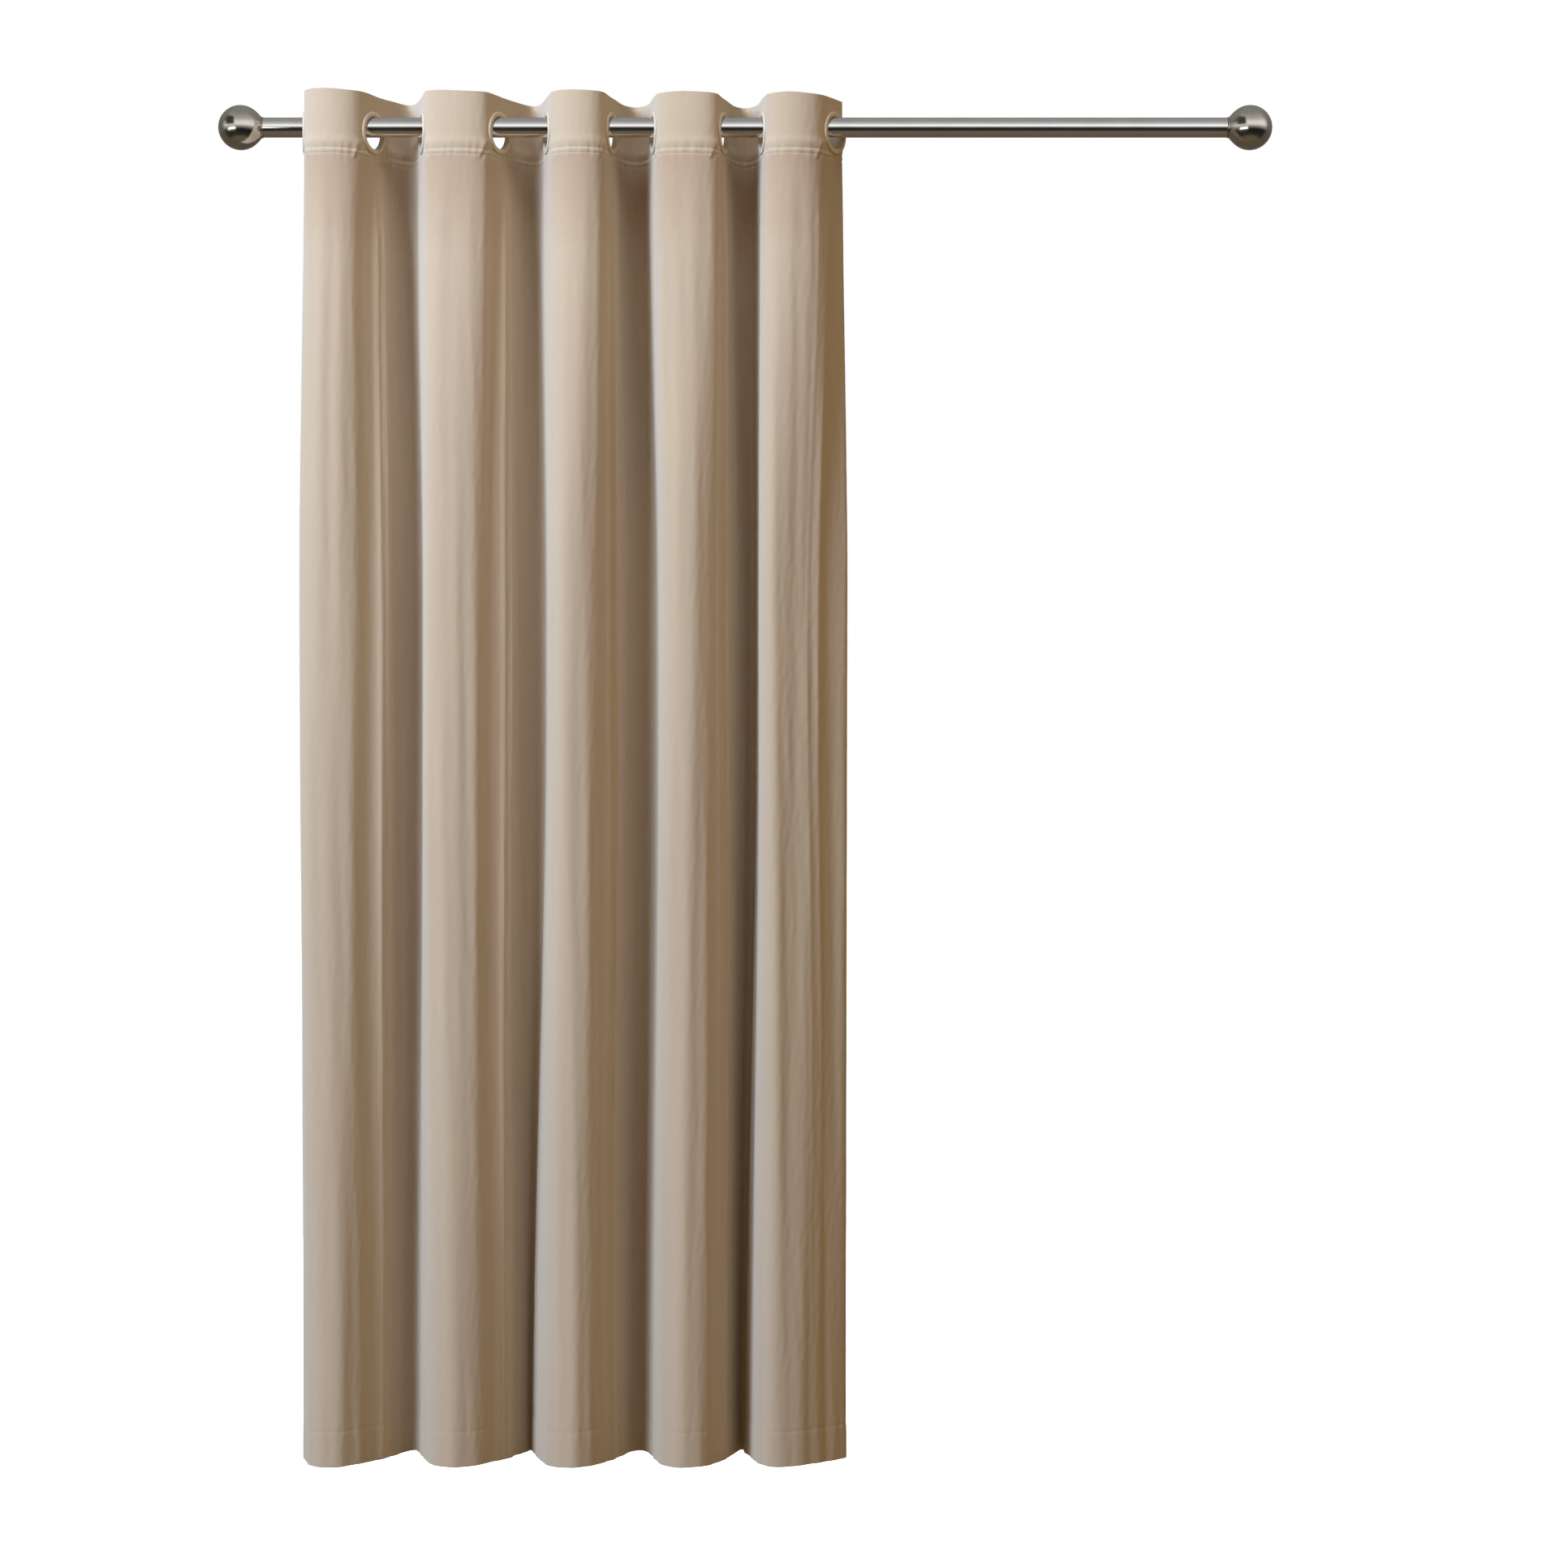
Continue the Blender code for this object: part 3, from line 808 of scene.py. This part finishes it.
    def place(self, s, z):
        reach = 0.0015
        x, y = self.plan(s, z)
        x_after, y_after = self.plan(s + reach, z)
        x_before, y_before = self.plan(s - reach, z)
        along = np.stack((x_after - x_before, y_after - y_before), axis=-1)
        along /= np.linalg.norm(along, axis=-1, keepdims=True)
        height = self.relief(s, z)
        top = smooth(z, self.heading_seam, PANEL_TOP)
        near_hem = smooth(z, self.hem_seam + 0.08, PANEL_BOTTOM)
        tilt = TOP_RISE * (1 - 2 * s / LAST_EYELET_S)
        rise = (tilt + 0.0006 * waves(s, z * 0, 23, 7, 0.070, 1.0)) * top
        rise = rise + 0.0007 * waves(s, z * 0, 29, 7, 0.090, 1.0) * near_hem
        return np.stack((x + along[..., 1] * height, y - along[..., 0] * height, z + rise), axis=-1)

    def normal(self, s, z):
        reach = 0.0006
        ds = self.place(s + reach, z) - self.place(s - reach, z)
        dz = self.place(s, z + reach) - self.place(s, z - reach)
        normal = np.cross(ds, dz)
        return normal / np.linalg.norm(normal, axis=-1, keepdims=True)


# Cutting the panel into pieces


def panel_rows():
    """Heights from the hem to the top edge, closer together where the cloth is stitched or holed."""
    panel_steps = (
        (PANEL_BOTTOM, PANEL_BOTTOM + 0.060, 0.0030),
        (PANEL_BOTTOM + 0.060, -0.160, 0.0090),
        (-0.160, -0.060, 0.0040),
        (-0.060, EYELET_Z - EYELET_FLANGE_RADIUS, 0.0012),
        (EYELET_Z - EYELET_FLANGE_RADIUS, EYELET_Z + EYELET_FLANGE_RADIUS, 0.0020),
        (EYELET_Z + EYELET_FLANGE_RADIUS, PANEL_TOP, 0.0020),
    )
    rows = [np.array([PANEL_BOTTOM])]
    for low, high, step in panel_steps:
        count = max(2, round((high - low) / step))
        rows.append(np.linspace(low, high, count + 1)[1:])
    return np.concatenate(rows)


def holed(s, z, left, right):
    """Slides a piece's columns clear of the eyelet holes at its ends."""
    hole = EYELET_HOLE_RADIUS + EYELET_BARREL_WALL + FIT_GAP
    height = np.abs(z - EYELET_Z)
    reach = np.sqrt(np.clip(hole**2 - height**2, 0, None))
    moved = s.copy()
    if left is not None:
        away = np.clip(s - left, 0, FLAT_ZONE)
        moved = moved + reach * (1 - away / FLAT_ZONE)
    if right is not None:
        away = np.clip(right - s, 0, FLAT_ZONE)
        moved = moved - reach * (1 - away / FLAT_ZONE)
    return moved


def loop_faces(row_count, column_count):
    """Quads of a sleeve whose rows go round the cloth's section."""
    faces = []
    for row in range(row_count):
        after = (row + 1) % row_count
        for column in range(column_count - 1):
            a = row * column_count + column
            b = after * column_count + column
            faces.append((a, a + 1, b + 1, b))
    return faces


def cloth_piece(name, panel, s_row, ends, thickness, offset, z_rows, edge_rows, material):
    """One pleat's cloth as a closed body: face, rolled top, back and rolled bottom."""
    s_grid, z_grid = np.meshgrid(s_row, z_rows)
    s_grid = holed(s_grid, z_grid, *ends)
    middle = panel.place(s_grid, z_grid)
    normal = panel.normal(s_grid, z_grid)
    middle = middle + normal * offset
    half = thickness(s_grid, z_grid) / 2
    front = middle + normal * half[..., None]
    back = middle - normal * half[..., None]
    front_layers = [front[i] for i in range(len(z_rows))]
    front_normals = [normal[i] for i in range(len(z_rows))]
    back_layers = [back[i] for i in range(len(z_rows) - 1, -1, -1)]
    back_normals = [-normal[i] for i in range(len(z_rows) - 1, -1, -1)]
    top_layers, top_normals = rolled_edge(middle[-1], normal[-1], half[-1], 1.0, edge_rows)
    low_layers, low_normals = rolled_edge(middle[0], -normal[0], half[0], -1.0, edge_rows)
    layers = front_layers + top_layers + back_layers + low_layers
    normals = front_normals + top_normals + back_normals + low_normals
    columns = len(s_row)
    rows = len(layers)
    vertices = np.concatenate(layers)
    faces = loop_faces(rows, columns)
    count = len(z_rows)
    for side in (0, columns - 1):
        for i in range(count - 1):
            a = i * columns + side
            b = (i + 1) * columns + side
            far = count + edge_rows + (count - 1 - i)
            c = (far - 1) * columns + side
            d = far * columns + side
            faces.append((a, b, c, d) if side == 0 else (b, a, d, c))
        faces.append(cap_face(count, edge_rows, columns, side, top=True))
        faces.append(cap_face(count, edge_rows, columns, side, top=False))
    piece = add_piece(name, vertices, faces, material)
    set_cloth_data(piece, np.concatenate(normals), s_grid, z_grid, edge_rows, rows * (columns - 1))
    return piece


def rolled_edge(edge, normal, half, up, count):
    """Rows that carry the cloth's face round a half circle to its back."""
    layers = []
    normals = []
    for i in range(1, count + 1):
        angle = math.pi * i / (count + 1)
        out = normal * math.cos(angle) + UP * up * math.sin(angle)
        layers.append(edge + out * half[:, None])
        normals.append(out)
    return layers, normals


def cap_face(count, edge_rows, columns, side, top):
    """The small half-round left at a side end, beyond the cloth's top or bottom row."""
    total = 2 * (count + edge_rows)
    first = count - 1 if top else 2 * count + edge_rows - 1
    corners = [(first + i) % total * columns + side for i in range(edge_rows + 2)]
    corners.reverse()
    return tuple(corners)


def round_section(grid, edge_rows):
    """A value of the face's grid for every vertex of the sleeve: face, top edge, back and bottom edge."""
    top = np.repeat(grid[-1:], edge_rows, 0)
    bottom = np.repeat(grid[:1], edge_rows, 0)
    return np.concatenate((grid, top, grid[::-1], bottom)).ravel()


def set_cloth_data(piece, normals, s_grid, z_grid, edge_rows, sleeve_faces):
    """UVs of (s, z) in metres, and the panel's own normals, so that pieces match where they meet."""
    mesh = piece.data
    u = round_section(s_grid, edge_rows) + UV_SHIFT[0]
    v = round_section(z_grid, edge_rows) + UV_SHIFT[1]
    uv = np.stack((u, v), axis=1)
    loop_vertex = np.zeros(len(mesh.loops), dtype=np.int32)
    mesh.loops.foreach_get("vertex_index", loop_vertex)
    layer = mesh.uv_layers.new(name="cloth")
    layer.data.foreach_set("uv", uv[loop_vertex].astype(np.float32).ravel())
    corner_normals = normals[loop_vertex]
    first_side_loop = sleeve_faces * 4
    corner_normals[first_side_loop:] = 0.0
    mesh.normals_split_custom_set([tuple(n) for n in corner_normals])


def section_list():
    """Name, s range and the bodies it spans, from the left side edge to the right one."""
    sections = [("left_return", -CLOTH_BESIDE_END_EYELETS, 0.0, None, 0)]
    for i in range(EYELETS - 1):
        kind = "front_fold" if i % 2 == 0 else "back_fold"
        start = i * CLOTH_BETWEEN_EYELETS
        sections.append((f"{kind}_{i // 2 + 1}", start, start + CLOTH_BETWEEN_EYELETS, i, i + 1))
    sections.append(("right_return", LAST_EYELET_S, PANEL_END_S, EYELETS - 1, None))
    return sections


def body_name(i):
    return f"eyelet_{i + 1:02d}"


def join_to_bodies(piece, first, second):
    """A return rides on its eyelet. A pleat is attached to no body: its transform is baked into its mesh.
    """
    if first is None or second is None:
        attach(piece, body_name(second if first is None else first))
        return
    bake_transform(piece)


def cloth_thickness(s, z):
    """One layer, doubled in the bottom and side hems and in the turned heading."""
    hem_seam = PANEL_BOTTOM + HEM_HEIGHT
    heading_seam = PANEL_TOP - SECOND_SEAM_BELOW_TOP
    hem = 1 - smooth(z, hem_seam - 0.001, hem_seam + 0.0015)
    heading = smooth(z, heading_seam, heading_seam + 0.003)
    edge = np.minimum(s + CLOTH_BESIDE_END_EYELETS, PANEL_END_S - s)
    side = 1 - smooth(edge, SIDE_HEM - 0.001, SIDE_HEM + 0.0015)
    flange = smooth(np.abs(z - EYELET_Z), EYELET_FLANGE_RADIUS, EYELET_FLANGE_RADIUS + 0.004)
    doubled = np.clip(hem + side + heading * flange * 0.3, 0, 1)
    return CLOTH_THICKNESS * (1 + 0.9 * doubled * np.where(z > PANEL_TOP - 0.09, 0.3, 1.0))


def tape_thickness(s, z):
    return np.full(np.broadcast(s, z).shape, TAPE_THICKNESS)


def build_panel(places, materials):
    panel = Panel(places)
    rows = panel_rows()
    tape_low, tape_high = (corner[2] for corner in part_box("front_fold_1_tape"))
    between_edges = (rows > tape_low + 0.0005) & (rows < tape_high - 0.0005)
    tape_rows = np.concatenate(([tape_low], rows[between_edges], [tape_high]))
    tape_offset = -(CLOTH_THICKNESS / 2 + FIT_GAP + TAPE_THICKNESS / 2)
    for name, s_low, s_high, first, second in section_list():
        width = s_high - s_low
        s_row = np.linspace(s_low, s_high, round(width / COLUMN_WIDTH) + 1)
        ends = (None if first is None else s_low, None if second is None else s_high)
        velvet = (cloth_thickness, 0.0, rows, 3, materials["velvet"])
        cloth = cloth_piece(f"{name}_velvet", panel, s_row, ends, *velvet)
        join_to_bodies(cloth, first, second)
        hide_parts(f"{name}_cloth")
        backing = (tape_thickness, tape_offset, tape_rows, 1, materials["tape"])
        tape = cloth_piece(f"{name}_eyelet_tape", panel, s_row, ends, *backing)
        join_to_bodies(tape, first, second)
        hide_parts(f"{name}_tape")


# Stage, lights and camera

FLOOR_BELOW_HEM = 0.28
FLOOR_HALF_WIDTH = 40.0
CAMERA_PLACE = (0.0496, -4.4, -0.841)
CAMERA_FRAME_WIDTH = 2.009
SENSOR = 36.0


def stage_material():
    """Evenly lit white paper, so bright that it runs into the white round it."""
    material, nodes, links = new_material("studio_white")
    shader = shader_of(nodes)
    place = coordinates(nodes, "Object")
    tone = noise(nodes, links, place, 3.0)
    paper = ramp(nodes, links, tone, ((0.3, grey(0.90)), (0.7, grey(0.93))))
    links.new(paper, shader.inputs["Base Color"])
    shader.inputs["Roughness"].default_value = 0.8
    shader.inputs["Specular IOR Level"].default_value = 0.0
    shader.inputs["Emission Color"].default_value = (1.0, 1.0, 1.0, 1.0)
    shader.inputs["Emission Strength"].default_value = 0.95
    return material


def build_floor():
    z = PANEL_BOTTOM - FLOOR_BELOW_HEM
    size = FLOOR_HALF_WIDTH
    corners = [(-size, -size, z), (size, -size, z), (size, size, z), (-size, size, z)]
    floor = add_piece("floor", corners, [(0, 1, 2, 3)], stage_material())
    floor.visible_glossy = False
    floor.visible_diffuse = False


def background(nodes, links, colour, strength):
    made = nodes.new("ShaderNodeBackground")
    if isinstance(colour, tuple):
        made.inputs["Color"].default_value = (*colour, 1.0)
    else:
        links.new(colour, made.inputs["Color"])
    made.inputs["Strength"].default_value = strength
    return made.outputs[0]


def choose_shader(nodes, links, factor, first, second):
    made = nodes.new("ShaderNodeMixShader")
    for socket, source in zip(made.inputs, (factor, first, second)):
        links.new(source, socket)
    return made.outputs[0]


def between(nodes, links, value, low, high, soft):
    """1 from low to high, falling to 0 over the soft width on both sides."""
    stops = ((low - soft, grey(0.0)), (low, grey(1.0)), (high, grey(1.0)), (high + soft, grey(0.0)))
    return ramp(nodes, links, value, stops)


def mirrored_studio(nodes, links):
    """What the metal mirrors, shaded by height.

    In front are a bright band above eye level, a dark one under it and a warm floor, with a low window
    under a dark screen on the left. Behind is a plain grey room.
    """
    split = nodes.new("ShaderNodeSeparateXYZ")
    links.new(coordinates(nodes, "Generated"), split.inputs[0])
    halves = []
    for axis in ("X", "Y", "Z"):
        half = math_node(nodes, links, "MULTIPLY_ADD", split.outputs[axis], 0.5)
        half.node.inputs[2].default_value = 0.5
        halves.append(half)
    side, depth, height = halves
    front = (
        (0.00, (0.165, 0.112, 0.070)),
        (0.09, (0.135, 0.110, 0.070)),
        (0.15, (0.035, 0.032, 0.026)),
        (0.33, (0.014, 0.014, 0.014)),
        (0.40, (0.040, 0.040, 0.042)),
        (0.49, (0.420, 0.420, 0.425)),
        (0.57, (1.050, 1.050, 1.050)),
        (0.67, (1.050, 1.050, 1.050)),
        (0.80, (0.560, 0.560, 0.560)),
        (1.00, (0.280, 0.280, 0.280)),
    )
    back = (
        (0.00, (0.115, 0.092, 0.070)),
        (0.40, (0.130, 0.110, 0.085)),
        (0.55, (0.180, 0.170, 0.150)),
        (0.80, (0.240, 0.238, 0.230)),
        (1.00, (0.300, 0.300, 0.300)),
    )
    to_back = ramp(nodes, links, depth, ((0.36, grey(0.0)), (0.58, grey(1.0))))
    shown = ramp(nodes, links, height, front)
    for low, high, bottom, top, soft, colour in (
        (0.06, 0.26, 0.61, 0.84, 0.06, (0.060, 0.056, 0.052)),
        (0.09, 0.33, 0.385, 0.435, 0.03, (2.600, 2.600, 2.600)),
    ):
        across = between(nodes, links, side, low, high, soft)
        upright = between(nodes, links, height, bottom, top, soft)
        inside = math_node(nodes, links, "MULTIPLY", across, upright)
        shown = mix_colour(nodes, links, inside, shown, colour)
    return mix_colour(nodes, links, to_back, shown, ramp(nodes, links, height, back))


def build_world():
    """White to the camera, soft and slightly warm on the cloth, and a shaded studio in the metal."""
    world = bpy.data.worlds.new("studio")
    bpy.context.scene.world = world
    world.use_nodes = True
    nodes, links = world.node_tree.nodes, world.node_tree.links
    soft = background(nodes, links, (1.0, 0.68, 0.24), 0.21)
    metal = background(nodes, links, mirrored_studio(nodes, links), 1.0)
    white = background(nodes, links, (1.0, 1.0, 1.0), 1.0)
    path = nodes.new("ShaderNodeLightPath")
    lit = choose_shader(nodes, links, path.outputs["Is Glossy Ray"], soft, metal)
    seen = choose_shader(nodes, links, path.outputs["Is Camera Ray"], lit, white)
    links.new(seen, nodes["World Output"].inputs[0])


def aim(thing, target):
    direction = np.array(target, float) - np.array(thing.location)
    flat = math.hypot(direction[0], direction[1])
    tilt = math.pi / 2 + math.atan2(direction[2], flat)
    thing.rotation_euler = (tilt, 0.0, math.atan2(-direction[0], direction[1]))


def add_light(name, location, target, size, power, colour):
    """A soft box that the metal doesn't mirror: its reflections come from the studio round it."""
    data = bpy.data.lights.new(name, "AREA")
    data.shape = "RECTANGLE"
    data.size, data.size_y = size
    data.energy = power
    data.color = colour
    light = bpy.data.objects.new(name, data)
    light.location = location
    bpy.context.scene.collection.objects.link(light)
    aim(light, target)
    light.visible_glossy = False


def build_lights():
    middle = (-0.2, 0.0, -0.6)
    add_light("key", (-2.6, -2.6, 1.0), middle, (1.4, 1.4), 185.0, (0.86, 1.06, 1.34))
    add_light("fill", (2.6, -3.4, 0.2), middle, (2.0, 2.4), 30.0, (1.0, 0.78, 0.50))
    add_light("top", (-0.4, -1.2, 2.2), (-0.2, 0.0, 0.0), (2.4, 1.2), 40.0, (1.0, 1.0, 1.0))
    add_light("back", (-0.8, 3.8, 0.4), middle, (3.0, 2.4), 110.0, (0.92, 1.0, 1.10))


def build_camera():
    data = bpy.data.cameras.new("camera")
    data.sensor_width = SENSOR
    data.lens = SENSOR * -CAMERA_PLACE[1] / CAMERA_FRAME_WIDTH
    data.clip_end = 200.0
    camera = bpy.data.objects.new("camera", data)
    camera.location = CAMERA_PLACE
    camera.rotation_euler = (math.pi / 2, 0.0, 0.0)
    bpy.context.scene.collection.objects.link(camera)
    bpy.context.scene.camera = camera


def main():
    bpy.context.scene.view_settings.view_transform = "Standard"
    places = eyelet_places()
    materials = make_materials()
    build_pole(materials)
    build_finial("left", -1, materials)
    build_finial("right", 1, materials)
    build_eyelets(places, materials)
    build_panel(places, materials)
    build_floor()
    build_world()
    build_lights()
    build_camera()


main()
